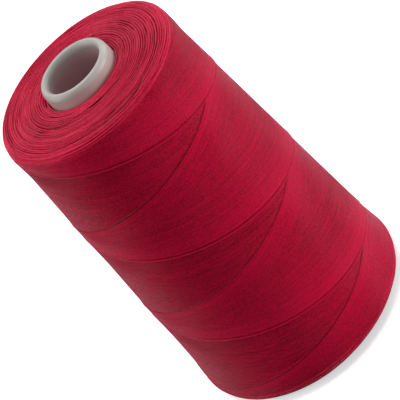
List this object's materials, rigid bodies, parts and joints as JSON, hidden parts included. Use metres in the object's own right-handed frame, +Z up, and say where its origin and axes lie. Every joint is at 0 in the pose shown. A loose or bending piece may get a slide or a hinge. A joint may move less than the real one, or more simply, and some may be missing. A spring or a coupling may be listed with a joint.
{
  "type": "cone of thread",
  "caption": "Tapered package of cross-wound sewing thread on a hollow plastic cone whose rounded nose stands above the thread.",
  "frame": {"origin": "middle of the surface that the cone stands on, on the cone's axis", "axes": "+Z up the cone's axis from its wide foot to its narrow nose; the package looks the same from every side, and +X and +Y are level"},
  "size_m": [0.0654, 0.0654, 0.1063],
  "materials": {
    "thread": "crimson spun polyester thread, closely wound, with a soft sheen",
    "core_plastic": "satin off-white moulded plastic"
  },
  "bodies": {
    "root": {"winding": "thread", "core": "core_plastic"}
  },
  "joints": []
}
